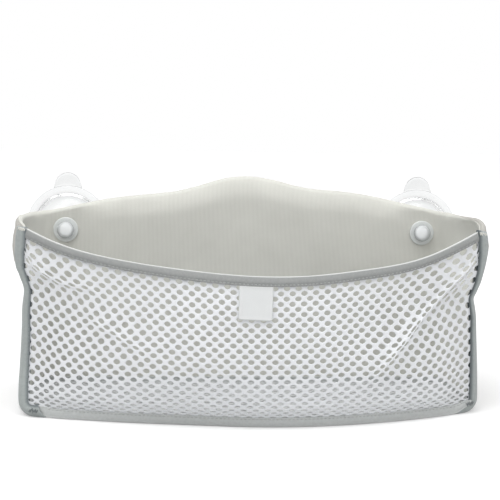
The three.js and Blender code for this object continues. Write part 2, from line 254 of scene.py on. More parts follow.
def addNode(tree, kind, **values):
    node = tree.nodes.new("ShaderNode" + kind)
    node.location = (nodeStep * len(tree.nodes), -nodeDrop)
    for key, value in values.items():
        setattr(node, key, value)
    return node


def mathNode(tree, operation, *inputs):
    node = addNode(tree, "Math", operation=operation)
    for socket, value in zip(node.inputs, inputs):
        feed(socket, value)
    return node.outputs[0]


def rangeNode(tree, value, **limits):
    return setInputs(addNode(tree, "MapRange"), Value=value, **limits).outputs[0]


def newGroup(name, inputs, outputs):
    group = bpy.data.node_groups.new(name, "ShaderNodeTree")
    for label, kind, value in inputs:
        socket = group.interface.new_socket(label, in_out="INPUT", socket_type="NodeSocket" + kind)
        if value is not None:
            socket.default_value = value
    for label, kind in outputs:
        group.interface.new_socket(label, in_out="OUTPUT", socket_type="NodeSocket" + kind)
    given = group.nodes.new("NodeGroupInput")
    put = group.nodes.new("NodeGroupOutput")
    put.location.x = nodeStep
    return group, given.outputs, put


# ribs across and along the cloth, with loose fibres over them
def makeWeave():
    group, given, put = newGroup(
        "thread weave",
        [("Vector", "Vector", None), ("Rib Pitch", "Float", 0.001), ("Weft Pitch", "Float", 0.001),
         ("Weft Share", "Float", 0.4), ("Fuzz", "Float", 0.3)],
        [("Height", "Float"), ("Shade", "Float")],
    )
    split = setInputs(addNode(group, "SeparateXYZ"), Vector=given["Vector"])
    waves = []
    for axis, pitch in (("X", "Rib Pitch"), ("Y", "Weft Pitch")):
        turns = mathNode(group, "DIVIDE", split.outputs[axis], given[pitch])
        phase = mathNode(group, "MULTIPLY", turns, math.pi)
        wave = mathNode(group, "SINE", phase)
        waves.append(mathNode(group, "ABSOLUTE", wave))
    ribShare = mathNode(group, "SUBTRACT", 1.0, given["Weft Share"])
    rib = mathNode(group, "MULTIPLY", waves[0], ribShare)
    weave = mathNode(group, "MULTIPLY_ADD", waves[1], given["Weft Share"], rib)
    fibres = addNode(group, "TexNoise")
    setInputs(fibres, Vector=given["Vector"], Scale=2600.0, Detail=3.0, Roughness=0.65)
    loose = mathNode(group, "MULTIPLY", fibres.outputs[0], given["Fuzz"])
    setInputs(put, Height=mathNode(group, "ADD", weave, loose), Shade=weave)
    return group


# soft lighter and darker patches from handling and wetting
def makePatches():
    group, given, put = newGroup(
        "handled patches",
        [("Vector", "Vector", None), ("Color", "Color", None), ("Size", "Float", 30.0),
         ("Amount", "Float", 0.08)],
        [("Color", "Color")],
    )
    broad = addNode(group, "TexNoise")
    setInputs(broad, Vector=given["Vector"], Scale=given["Size"], Detail=4.0, Roughness=0.6)
    centred = mathNode(group, "SUBTRACT", broad.outputs[0], 0.5)
    swing = mathNode(group, "MULTIPLY_ADD", centred, given["Amount"], 0.5)
    tone = addNode(group, "HueSaturation")
    setInputs(tone, Value=mathNode(group, "MULTIPLY", swing, 2.0), Color=given["Color"])
    setInputs(put, Color=tone.outputs[0])
    return group


weaveGroup = makeWeave()
patchGroup = makePatches()


def linearColour(red, green, blue):
    shares = [part / 255 for part in (red, green, blue)]
    return [part / 12.92 if part < 0.04045 else ((part + 0.055) / 1.055) ** 2.4 for part in shares] + [1.0]


# a finish with its plain values, and what its nodes hang on
def newFinish(name, **plain):
    finish = bpy.data.materials.new(name)
    finish.use_nodes = True
    tree = finish.node_tree
    return finish, tree, setInputs(tree.nodes["Principled BSDF"], **plain)


def objectPlace(tree):
    return addNode(tree, "TexCoord").outputs["Object"]


def patchedColour(tree, place, look):
    patches = addNode(tree, "Group", node_tree=patchGroup)
    setInputs(patches, Vector=place, Color=linearColour(*look["colour"]), Size=look["patchSize"],
              Amount=look["patches"])
    return patches.outputs[0]


def mixColours(tree, share, first, second, **kind):
    node = addNode(tree, "Mix", data_type="RGBA", **kind)
    return setInputs(node, Factor=share, A=first, B=second).outputs["Result"]


# one cloth finish: weave and patches on the piece's own cloth map, and on some tapes painted highlight and
# shade by the fold
def clothFinish(name, cloth):
    finish, tree, shader = newFinish(name, Sheen_Weight=cloth["sheen"], Sheen_Roughness=0.5,
                                     Specular_IOR_Level=cloth["specular"])
    place = addNode(tree, "UVMap", uv_map="weave").outputs[0]
    weave = addNode(tree, "Group", node_tree=weaveGroup)
    setInputs(weave, Vector=place, Rib_Pitch=cloth["rib"], Weft_Pitch=cloth["weft"],
              Weft_Share=cloth["weftShare"], Fuzz=cloth["fuzz"])
    tone = patchedColour(tree, place, cloth)
    # painted highlight and shade: over a band measured from the fold, the colour mixes towards the given
    # tone
    if "paintedEdgeLightShade" in cloth:
        colour, start, end = cloth["paintedEdgeLightShade"]
        split = setInputs(addNode(tree, "SeparateXYZ"), Vector=place)
        fromFold = mathNode(tree, "ABSOLUTE", split.outputs["Y"])
        share = addNode(tree, "MapRange", interpolation_type="SMOOTHSTEP")
        setInputs(share, Value=fromFold, From_Min=start, From_Max=end)
        tone = mixColours(tree, share.outputs[0], tone, linearColour(*colour))
    shade = weave.outputs["Shade"]
    level = rangeNode(tree, shade, To_Min=0.45, To_Max=1.12)
    tone = mixColours(tree, cloth["grooveShade"], tone, level, blend_type="MULTIPLY")
    rough = rangeNode(tree, shade, To_Min=cloth["rough"] + 0.06, To_Max=cloth["rough"] - 0.06)
    relief = addNode(tree, "Bump")
    setInputs(relief, Strength=cloth["relief"], Distance=cloth["depth"], Height=weave.outputs["Height"])
    setInputs(shader, Base_Color=tone, Roughness=rough, Normal=relief.outputs[0])
    return finish


liningCloth = {
    "colour": (214, 214, 207), "rib": 0.00115, "weft": 0.0006, "weftShare": 0.22, "fuzz": 0.35,
    "rough": 0.86, "sheen": 0.25, "specular": 0.25, "patchSize": 34.0, "patches": 0.07,
    "grooveShade": 0.30, "relief": 0.75, "depth": 0.00022,
}
bandCloth = dict(liningCloth, colour=(185, 183, 177), rib=0.0008, weft=0.0007, weftShare=0.45,
                 grooveShade=0.22)
# binding tape; used as it is for the base tape, whose colour is set lighter than the rim and corner tapes:
# painted light against the shade the base tape lies in
tapeCloth = {
    "colour": (188, 191, 190), "rib": 0.0006, "weft": 0.00045, "weftShare": 0.5, "fuzz": 0.4, "rough": 0.8,
    "sheen": 0.3, "specular": 0.3, "patchSize": 420.0, "patches": 0.16, "grooveShade": 0.25,
    "relief": 0.6, "depth": 0.00016,
}
# painted light on the tapes: the folds of the rim and the base get a painted highlight, and a corner tape's
# inner edge a painted shade along its seam
rimTapeCloth = dict(tapeCloth, colour=(150, 152, 151), paintedEdgeLightShade=((216, 218, 216), 0.0016, 0.0005))
# the bottom tape's colour is also set lighter: painted light against the shade at the foot of the front
bottomTapeCloth = dict(tapeCloth, colour=(196, 199, 198), paintedEdgeLightShade=((222, 224, 223), 0.0030, 0.0008))
leftTapeCloth = dict(tapeCloth, colour=(166, 172, 171), paintedEdgeLightShade=((124, 131, 133), 0.0062, 0.0088))
rightTapeCloth = dict(leftTapeCloth, paintedEdgeLightShade=((98, 105, 107), 0.0058, 0.0084))
netCloth = {
    "colour": (233, 235, 238), "rib": 0.0006, "weft": 0.0009, "weftShare": 0.5, "fuzz": 0.5, "rough": 0.62,
    "sheen": 0.15, "specular": 0.4, "patchSize": 40.0, "patches": 0.05, "grooveShade": 0.10,
    "relief": 0.7, "depth": 0.00018,
}
# the floor net's colour is greyer than the front net's: painted shade of the basket's inside
floorNetShadeCloth = dict(netCloth, colour=(192, 194, 195))  # a little greyer
labelCloth = {
    "colour": (215, 217, 217), "rib": 0.00035, "weft": 0.00035, "weftShare": 0.5, "fuzz": 0.2,
    "rough": 0.55, "sheen": 0.1, "specular": 0.45, "patchSize": 70.0, "patches": 0.04,
    "grooveShade": 0.12, "relief": 0.4, "depth": 0.00008,
}
liningFinish = clothFinish("ribbed lining", liningCloth)
bandFinish = clothFinish("knitted band cloth", bandCloth)
tapeFinish = clothFinish("binding tape", tapeCloth)
rimFinish = clothFinish("rim tape", rimTapeCloth)
bottomFinish = clothFinish("bottom tape", bottomTapeCloth)
cornerFinishes = {
    -1: clothFinish("left corner tape", leftTapeCloth),
    1: clothFinish("right corner tape", rightTapeCloth),
}
netFinish = clothFinish("white hole net", netCloth)
floorNetShadeFinish = clothFinish("floor hole net in painted shade", floorNetShadeCloth)
labelFinish = clothFinish("bare woven label", labelCloth)


# twisted sewing thread
threadLook = {"sheen": 0.3, "rough": 0.62, "patchSize": 900.0, "patches": 0.25}


def threadFinish(name, colour):
    look = dict(threadLook, colour=colour)
    finish, tree, shader = newFinish(name, Sheen_Weight=look["sheen"], Roughness=look["rough"])
    setInputs(shader, Base_Color=patchedColour(tree, objectPlace(tree), look))
    return finish


threadLight = threadFinish("sewing thread", (166, 169, 168))
threadTack = threadFinish("tack thread", (222, 221, 214))
# dark thread: partly the real dark stitching, partly painted shade in the corner seams' creases and the
# hollows at the feet
threadDarkAndShade = threadFinish("dark thread and painted shade", (98, 105, 107))

# soft vinyl with a faint haze, greyer where it is seen edge on
vinylLook = {
    "colour": (236, 237, 237), "clear": 1.0, "patchSize": 60.0, "patches": 0.03, "bend": 1.42, "shine": 0.6,
    "edgeColour": (128, 132, 133), "edgeBlend": 0.25, "hazeSize": 140.0, "rough": (0.12, 0.24),
}
knobLook = dict(vinylLook, colour=(234, 237, 238), clear=0.3)  # of the thick knob


def vinylFinish(name, look):
    finish, tree, shader = newFinish(name, Transmission_Weight=look["clear"],
                                     Specular_Tint=[look["shine"]] * 3 + [1.0])
    shader.inputs["IOR"].default_value = look["bend"]
    place = objectPlace(tree)
    rim = setInputs(addNode(tree, "LayerWeight"), Blend=look["edgeBlend"])
    tone = mixColours(tree, rim.outputs["Facing"], patchedColour(tree, place, look),
                      linearColour(*look["edgeColour"]))
    haze = addNode(tree, "TexNoise")
    setInputs(haze, Vector=place, Scale=look["hazeSize"], Detail=3.0)
    low, high = look["rough"]
    rough = rangeNode(tree, haze.outputs[0], To_Min=low, To_Max=high)
    setInputs(shader, Base_Color=tone, Roughness=rough)
    return finish


# moulded satin plastic of the eyelets
plasticLook = {
    "colour": (219, 222, 221), "patchSize": 120.0, "patches": 0.06, "grainSize": 1800.0, "relief": 0.25,
    "depth": 0.00005, "rough": (0.3, 0.45),
}


def plasticFinish(name, look):
    finish, tree, shader = newFinish(name)
    place = objectPlace(tree)
    grain = addNode(tree, "TexNoise")
    setInputs(grain, Vector=place, Scale=look["grainSize"], Detail=2.0)
    relief = addNode(tree, "Bump")
    setInputs(relief, Strength=look["relief"], Distance=look["depth"], Height=grain.outputs[0])
    low, high = look["rough"]
    rough = rangeNode(tree, grain.outputs[0], To_Min=low, To_Max=high)
    colour = patchedColour(tree, place, look)
    setInputs(shader, Base_Color=colour, Roughness=rough, Normal=relief.outputs[0])
    return finish


clearVinyl = vinylFinish("clear vinyl", vinylLook)
milkyVinyl = vinylFinish("milky vinyl", knobLook)
plastic = plasticFinish("satin plastic", plasticLook)
print("finishes made")


def makePiece(name, form, finish, body="basket", nodes=()):
    for face in form.faces:
        face.smooth = True
    mesh = bpy.data.meshes.new(name)
    form.to_mesh(mesh)
    form.free()
    piece = bpy.data.objects.new(name, mesh)
    bpy.context.collection.objects.link(piece)
    mesh.materials.append(finish)
    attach(piece, body)
    if nodes:
        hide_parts(*nodes)
    return piece


def thicken(piece, thickness, levels=1):
    wall = piece.modifiers.new("cloth thickness", "SOLIDIFY")
    wall.thickness = thickness
    wall.offset = 0.0
    if levels:
        soft = piece.modifiers.new("soft", "SUBSURF")
        soft.levels = levels
        soft.render_levels = levels


# a flat rectangle of cloth, centred, with its own map in metres
def flatCloth(width, length, columns, rows):
    cloth = bmesh.new()
    bmesh.ops.create_grid(cloth, x_segments=columns, y_segments=rows, size=0.5)
    bmesh.ops.scale(cloth, vec=(width, length, 1), verts=cloth.verts)
    return cloth


def mapCloth(cloth, run=float):
    layer = cloth.loops.layers.uv.new("weave")
    for face in cloth.faces:
        for corner in face.loops:
            corner[layer].uv = (corner.vert.co.x, run(corner.vert.co.y))


# staggered holes: the grid's cells are poked, joined across its edges and opened
def holeNet(part):
    cloth = flatCloth(part["width"], part["length"], part["columns"], part["rows"])
    inner = [edge for edge in cloth.edges if not edge.is_boundary]
    bmesh.ops.poke(cloth, faces=cloth.faces[:])
    bmesh.ops.dissolve_edges(cloth, edges=inner, use_verts=False)
    cells = [face for face in cloth.faces if len(face.verts) == 4]
    bmesh.ops.inset_individual(cloth, faces=cells, thickness=part["strand"], use_even_offset=True)
    for cell in cells:
        middle = cell.calc_center_median().x
        for spot in cell.verts:
            spot.co.x = mix(middle, spot.co.x, part["wide"])
    bmesh.ops.delete(cloth, geom=cells, context="FACES")
    mapCloth(cloth)
    return cloth


# front net
frontNet = {
    "width": 0.404,
    "length": 0.148,
    "columns": 40,
    "rows": 18,
    "strand": 0.00092,
    "wide": 1.19,  # the holes are wider than they are high
    "thickness": 0.0008,
    "inset": 0.0014,  # cloth edge inside the folded tapes
    "settle": (1.08, 0.86, 0.26),  # rows sink together over the bottom tape: all, share lost and how far up
    "overhang": 0.0055,  # how far it bulges over the bottom tape, between what heights and off the sides
    "overhangHeights": (0.0085, 0.019, 0.03, 0.085), "overhangSides": (0.009, 0.04),
    "drawn": {-1: 0.15, 1: 0.22},  # how far the upper corners are drawn outwards, left and right
    "drawnFrom": 0.11, "drawnSides": (0.10, 0.165), "drawnHeights": (0.075, 0.115), "drawnEdge": 0.02,
    "gathers": (0.0011, 0.011, 0.022),  # along the rim and the base: height, length and fade
    "billows": (0.0016, 0.045),
    "flatEdge": (0.0085, 0.0165),  # no relief next to the tapes
    "pleats": (0.62, 0.38, 0.0052),  # of a crease: middle, swing and pitch
    # creases as three points across and up, share drawn together, half width and height
    "creases": [
        ((0.190, 0.146), (0.132, 0.082), (0.076, 0.024), 0.80, 0.0120, 0.0042),
        ((0.182, 0.118), (0.165, 0.104), (0.140, 0.072), 0.35, 0.0120, 0.0014),
        ((-0.188, 0.148), (-0.170, 0.098), (-0.112, 0.110), 0.55, 0.0100, 0.0032),
        ((-0.132, 0.084), (-0.106, 0.071), (-0.078, 0.056), 0.45, 0.0090, 0.0020),
    ],
    "creaseSteps": 40, "creaseStart": (-6, 8), "creaseEnd": (26, 40), "creaseEdge": 0.012,
    "creaseNarrow": 0.9,  # share of its width that rises
}


def creaseTrack(crease):
    a, b, c = [Vector(spot) for spot in crease[:3]]
    steps = frontNet["creaseSteps"]
    shares = [k / steps for k in range(steps + 1)]
    return [a * (1 - t) ** 2 + b * 2 * t * (1 - t) + c * t * t for t in shares]


creaseTracks = [(creaseTrack(crease), *crease[3:]) for crease in frontNet["creases"]]


def settled(up):
    whole, share, width = frontNet["settle"]
    return whole * up - share * width * math.sqrt(math.pi) / 2 * math.erf(up / width)


# where a spot of the flat net lies on the front, across, up and out of it
def netSpot(side, up):
    part = frontNet
    inset = part["inset"]
    top = rimHeight(side * (1 - inset / panelHalf(shell["cornerHeight"]))) - inset
    z = mix(inset, top, settled(up) / settled(1))
    spot = Vector((side * (edgeHalf(z) - inset), z))
    u = spot.x / panelHalf(z)
    fromRim, fromSide = rimHeight(u) - z, panelHalf(z) - abs(spot.x)
    edge = min(fromRim, z, fromSide)
    moved = spot.copy()
    outer = math.copysign(1, side)
    drawn = part["drawn"][outer] * (z - part["drawnFrom"]) * ramp(abs(spot.x), *part["drawnSides"])
    drawn *= ramp(z, *part["drawnHeights"])
    moved.x += outer * max(drawn, 0.0) * ramp(fromSide, 0.0, part["drawnEdge"])
    rise = 0.0
    middle, swing, pitch = part["pleats"]
    for track, gathered, width, height in creaseTracks:
        away, k = min(((spot - point).length, k) for k, point in enumerate(track))
        strength = ramp(k, *part["creaseStart"]) * (1 - ramp(k, *part["creaseEnd"]))
        pull = gathered * bump(away, 0, width) * strength
        moved -= (spot - track[k]) * pull * ramp(edge, 0.0, part["creaseEdge"])
        pleat = middle + swing * math.cos(math.tau * away * (1 - pull) / pitch)
        rise += height * bump(away, 0, part["creaseNarrow"] * width) * strength * pleat
    height, length, fade = part["gathers"]
    rise += height * ripple(spot.x / length, 0.0, 3.1) * math.exp(-min(fromRim, z) / fade)
    height, length = part["billows"]
    rise += height * ripple(spot.x / length, z / length, 7.7)
    rise *= ramp(min(edge, panelHalf(z) - abs(moved.x)), *part["flatEdge"])
    start, full, fade, end = part["overhangHeights"]
    overhang = part["overhang"] * ramp(z, start, full) * (1 - ramp(z, fade, end))
    rise += overhang * ramp(fromSide, *part["overhangSides"])
    return moved.x / panelHalf(moved.y), moved.y, rise


def buildFrontNet():
    part = frontNet
    cloth = holeNet(part)
    flatArea = sum(face.calc_area() for face in cloth.faces)
    for spot in cloth.verts:
        spot.co = frontPoint(*netSpot(2 * spot.co.x / part["width"], spot.co.y / part["length"] + 0.5))
    piece = makePiece("front_net", cloth, netFinish, nodes=["front_mesh"])
    thicken(piece, part["thickness"])


# folded binding tapes
rimTape = {
    "length": 0.412, "width": 0.0073, "fold": 0.0014, "puff": 0.0004, "dent": 0.0003, "seam": 0.0014,
    "thickness": 0.001, "step": 0.003, "around": 20,
    "puffEnd": 1.2, "dentWidth": 0.0009,
    "wave": 0.0003, "waveLength": (0.012, 0.02), "waveFrom": (0.001, 0.003),  # along and across it
    "stand": (1.0, 1.35),  # how it stands off, at the fold and at its edge
    "end": 0.0055,  # inset of its ends
    "press": (0.4, 0.0078, 0.0125),  # share left of its height at its ends, and over what run
    "seamEnds": (0.022, 0.978),
}
bottomTape = dict(
    rimTape, length=0.382, width=0.008, fold=0.0010, puff=0.0002, stand=(1.4, 1.0),
    ends=(0.0175, 0.0070),  # inset of its left and right end
    # the left end is pressed and lifted a little: how much and over what run
    press=(0.45, 0.0205, 0.0265),
    lift=(0.0011, 0.018, 0.034),
    # the right end climbs: over what run, how high, how far out and how much of its width is lost
    climbRun=(0.0045, 0.0235), climbLift=0.0085, climbOut=0.0018, climbNarrow=0.75,
)
cornerTape = dict(
    rimTape, width=0.0084, puff=0.0012, dent=0.0007, seam=0.0011, wave=0.0004, stand=(1.0, 1.0),
    lobe=0.011,  # run along the base after the turn at the foot
    rise={-1: 0.0028, 1: 0.0018},  # its top end over the corner height, left and right
    slant={-1: 0.0006, 1: -0.0020},  # how far the top end falls towards the rim tape
    slantRun=0.012,
    press=(0.55, 0.003),  # at its top end
    topLap=(0.0004, (0.009, 0.014), (0.003, 0.006)),  # over the rim tape: how far out, run and reach
    footLap=(0.0007, (0.022, 0.008), (0.001, 0.004)),  # the left foot over the bottom tape
    footPress=(0.45, (0.030, 0.014)),  # the right foot under it
    footCut=(0.7, 0.012),  # slant of the foot's end, and over what run
    seamEnds=(0.08, 0.84),
    # where it is turned to the front or away: height and share of its width, left and right
    turned={
        -1: [(0, 1.15), (0.012, 1.05), (0.030, 0.97), (0.060, 0.92), (0.085, 0.80), (0.104, 0.68),
             (0.119, 0.78), (0.129, 0.93), (0.141, 1.05)],
        1: [(0, 1.08), (0.012, 1.0), (0.030, 0.88), (0.060, 0.70), (0.085, 0.62), (0.097, 0.56),
            (0.106, 0.64), (0.120, 0.74), (0.129, 0.92), (0.140, 1.12)],
    },
)


# distance of a tape's middle layer from what it is folded over
def tapeOffset(reach, tape):
    fold = tape["fold"]
    if reach < fold:
        return math.sqrt(max(fold * fold - (fold - reach) ** 2, 0.0))
    run = (reach - fold) / (tape["width"] - fold)
    puff = tape["puff"] * math.sin(math.pi * min(run * tape["puffEnd"], 1.0))
    return fold + puff - tape["dent"] * bump(reach, tape["width"] - tape["seam"], tape["dentWidth"])


def tapeStand(reach, tape):
    return tapeOffset(reach, tape) * mix(*tape["stand"], reach / tape["width"])


def tapeHalf(tape):
    return tape["fold"] * math.pi / 2 + tape["width"] - tape["fold"]


def foldedTape(name, length, tape, place, finish, node):
    strip = flatCloth(length, 2 * tapeHalf(tape), int(length / tape["step"]), tape["around"])
    mapCloth(strip)
    fold = tape["fold"]
    turned = fold * math.pi / 2
    longWave, crossWave = tape["waveLength"]
    for spot in strip.verts:
        run = abs(spot.co.y)
        along = spot.co.x / length + 0.5
        reach = fold * (1 - math.cos(run / fold)) if run < turned else fold + run - turned
        offset = math.copysign(tapeStand(reach, tape), spot.co.y) if run > 1e-7 else 0.0
        pull = tape["wave"] * ripple(along * length / longWave, reach / crossWave, len(name) + 0.4)
        offset += math.copysign(pull, offset) * ramp(reach, *tape["waveFrom"])
        spot.co = place(along, reach, offset)
    piece = makePiece(name, strip, finish, nodes=[node])
    thicken(piece, tape["thickness"])


# sewn stitches along a path, which gives a point from its run and its height over the tape
stitch = {"size": (0.0026, 0.0008, 0.0007), "gap": 0.0008, "proud": 0.0001, "probe": 0.3, "lift": 0.001}
# the right corner's stitches are larger and set closer: painted shade of its deeper seam crease
cornerStitch = {-1: ((0.0018, 0.0008, 0.0007), 0.0014), 1: ((0.0030, 0.0011, 0.0008), 0.0006)}


def sewStitches(thread, path, length, size=stitch["size"], gap=stitch["gap"]):
    count = max(round(length / (size[0] + gap)), 1)
    for k in range(count):
        along = (k + 0.5) / count
        middle = path(along, 0.0)
        step = stitch["probe"] / count
        run = (path(along + step, 0.0) - path(along - step, 0.0)).normalized()
        cross = (path(along, stitch["lift"]) - middle).cross(run).normalized()
        turn = Matrix((run, cross, run.cross(cross))).transposed().to_4x4()
        place = Matrix.Translation(middle) @ turn @ Matrix.Diagonal((*size, 1.0))
        bmesh.ops.create_icosphere(thread, subdivisions=1, radius=0.5, matrix=place)


# the rim's ends dive into the corner tapes, so they are pressed flat there
def onRim(along, reach, offset):
    half = panelHalf(shell["cornerHeight"])
    end = 1 - rimTape["end"] / half
    u = mix(-end, end, along)
    left, start, full = rimTape["press"]
    press = mix(left, 1.0, ramp((1 - abs(u)) * half, start, full))
    return frontPoint(u, rimHeight(u) - reach - rimTape["thickness"] / 2, offset * press)


# the bottom tape's left end lies under the corner tape's foot, its right end climbs over it in a point
def onBottom(along, reach, offset):
    tape = bottomTape
    low = tape["thickness"] / 2
    left, right = tape["ends"]
    u = mix(left / panelHalf(0) - 1, 1 - right / panelHalf(0), along)
    fromEnd = (1 - abs(u)) * panelHalf(0)
    if u < 0:
        share, start, full = tape["press"]
        offset *= mix(share, 1.0, ramp(fromEnd, start, full))
        lift, start, full = tape["lift"]
        return frontPoint(u, reach + low + lift * (1 - ramp(fromEnd, start, full)), offset)
    climb = 1 - ramp(fromEnd, *tape["climbRun"])
    out = tape["climbOut"] * climb if offset > 0 else 0.0
    reach *= 1 - tape["climbNarrow"] * climb * climb
    return frontPoint(u, reach + low + tape["climbLift"] * climb, offset + out)


# a corner tape follows the front's side edge down, round the foot and a little way along the base
def cornerPath(side, run):
    half = cornerTape["thickness"] / 2
    foot = shell["footRound"]
    turn = foot - half
    top = shell["cornerHeight"] + cornerTape["rise"][side]
    straight = top - foot
    if run < straight:
        z = top - half - run
        return Vector((panelHalf(z) - half, z)), Vector((-1, 0))
    angle = min((run - straight) / turn, math.pi / 2)
    hub = Vector((panelHalf(foot) - half - turn, foot))
    out = Vector((math.cos(angle), -math.sin(angle)))
    past = max(run - straight - turn * math.pi / 2, 0.0)
    return hub + out * turn - Vector((past, 0)), -out


def cornerLength(side):
    turn = shell["footRound"]
    return shell["cornerHeight"] + cornerTape["rise"][side] - turn + turn * math.pi / 2 + cornerTape["lobe"]


def onCorner(side, along, reach, offset):
    tape = cornerTape
    length = cornerLength(side)
    run = along * length
    cut, over = tape["footCut"]
    run -= cut * reach * (1 - ramp(length - run, 0.0, over))
    edge, inward = cornerPath(side, run)
    reach *= readOff(tape["turned"][side], edge.y)
    spot = edge + inward * reach
    spot.y -= tape["slant"][side] * reach / tape["width"] * (1 - ramp(run, 0.0, tape["slantRun"]))
    left, over = tape["press"]
    offset *= mix(left, 1.0, ramp(run, 0.0, over))
    if offset > 0:
        out, runs, reaches = tape["topLap"]
        offset += out * (1 - ramp(run, *runs)) * ramp(reach, *reaches)
        if side < 0:
            out, (start, full), reaches = tape["footLap"]
            offset += out * ramp(run, length - start, length - full) * ramp(reach, *reaches)
        else:
            lost, (start, full) = tape["footPress"]
            offset *= 1 - lost * ramp(run, length - start, length - full)
    z = max(spot.y, tape["thickness"] / 2)
    return frontPoint(side * spot.x / panelHalf(z), z, offset)


# a row of stitches on a tape's face, run from one share of its length to another
def onSeam(place, tape, face, start, end, along, lift):
    reach = tape["width"] - tape["seam"]
    out = tapeStand(reach, tape) + tape["thickness"] / 2 + stitch["proud"]
    return place(mix(start, end, along), reach, face * (out + lift))


def sewSeam(name, place, tape, length, faces, finish, *kind):
    thread = bmesh.new()
    start, end = tape["seamEnds"]
    for face in faces:
        sewStitches(thread, partial(onSeam, place, tape, face, start, end), length * (end - start), *kind)
    makePiece(name, thread, finish)


def buildTapes():
    for name, tape, place, finish, node in (
        ("rim", rimTape, onRim, rimFinish, "front_rim_binding"),
        ("bottom", bottomTape, onBottom, bottomFinish, "front_bottom_binding"),
    ):
        foldedTape(name + "_tape", tape["length"], tape, place, finish, node)
        sewSeam(name + "_stitches", place, tape, tape["length"], (1, -1), threadLight)
    for name, side in (("left", -1), ("right", 1)):
        place = partial(onCorner, side)
        length = cornerLength(side)
        foldedTape(name + "_corner_tape", length, cornerTape, place, cornerFinishes[side],
                   name + "_corner_binding")
        sewSeam(name + "_corner_stitches", place, cornerTape, length, (1,), threadDarkAndShade, *cornerStitch[side])


# padded band: outer cloth turned over the foam's top edge
bandPad = {
    "columns": 190, "faceRows": 40, "rollRows": 10,
    "thick": 0.0045,  # cloth and foam together
    "bottom": 0.0014,
    "bead": 0.0004,  # how far the turned edge stands proud of the faces
    "beadWave": (0.7, 46.0), "beadFade": 0.0034,
    "groove": (0.0002, 0.0105, 0.003),  # under the bead: depth, middle and half height
    "lean": (0.0075, 0.019),  # the top edge leans outwards: how far and over what height
    "leanEnds": (0.10, 0.22), "leanCups": (0.020, 0.046),
    "swells": [(0.0018, 7.0, 13.0, 2.3), (0.0005, 30.0, 44.0, 8.6)],
    "swellBase": (0.012, 0.035), "swellEnds": (0.012, 0.06), "swellCups": (0.014, 0.034),
    "faceRun": 0.0042, "rollRun": 0.0010,  # cloth taken by one row
    "hole": 0.0066, "holeDepth": 0.02, "holeReach": 1.8,  # eyelet hole
}
bandLining = {
    "columns": 190, "faceRows": 44, "rollRows": 8, "depth": 0.00495, "thickness": 0.0009,
    "faceRun": 0.0039, "rollRun": 0.0007, "highest": 0.195,
    "rolled": 1.8,  # how far it is turned over the top edge
    # the lining's turned edge is cut back at its right front end so the darker band cloth shows there:
    # painted shade
    "paintedShadeCut": 0.85, "paintedShadeCutRun": (0.80, 0.90),  # share of that which is missing at its right front end
    "areaSteps": 60, "areaAllowance": 0.001,
}


# shallow hollows and swells of the padding, kept off the eyelets, the base and the front ends
def bandSwell(along, z):
    part = bandPad
    spot = bandPoint(along, z, 0.0)
    fromCup = min((spot - centre).length for centre in cupSpots)
    fromFront = min(along, 1 - along)
    swell = sum(size * ripple(along * across, z * up, seed) for size, across, up, seed in part["swells"])
    swell *= (ramp(z, *part["swellBase"]) * ramp(fromFront, *part["swellEnds"])
              * ramp(fromCup, *part["swellCups"]))
    far, height = part["lean"]
    lean = far * max(1 - (bandTop(along) - z) / height, 0.0) ** 2
    return swell + lean * ramp(fromFront, *part["leanEnds"]) * ramp(fromCup, *part["leanCups"])


# how far the faces stand proud next to the turned edge
def beadProud(under):
    start = bandPad["thick"] / 2 + bandPad["bead"]
    deep, middle, half = bandPad["groove"]
    return bandPad["bead"] * bump(under, start, bandPad["beadFade"]) - deep * bump(under, middle, half)


def rollRadius(along):
    swing, pace = bandPad["beadWave"]
    return bandPad["thick"] / 2 + bandPad["bead"] * (1 + swing * ripple(along * pace, 0.0, 4.2))


def openHole(form, centre):
    radius = bandPad["hole"]

    def away(spot):
        return (spot.xz - centre.xz).length

    def inHole(face):
        middle = face.calc_center_median()
        return away(middle) < radius and middle.y > backY - bandPad["holeDepth"]

    bmesh.ops.delete(form, geom=[face for face in form.faces if inHole(face)], context="FACES")
    reach = radius * bandPad["holeReach"]
    edges = [
        edge for edge in form.edges
        if edge.is_boundary and all(away(spot.co) < reach for spot in edge.verts)
    ]
    for spot in {spot for edge in edges for spot in edge.verts}:
        out = (spot.co.xz - centre.xz).normalized() * radius
        spot.co = Vector((centre.x + out.x, spot.co.y, centre.z + out.y))
    return edges


# both cloths of the band are laid out one unit high, so that a spot tells its row
def rowOf(y, rows):
    return round((y + 0.5) * rows)


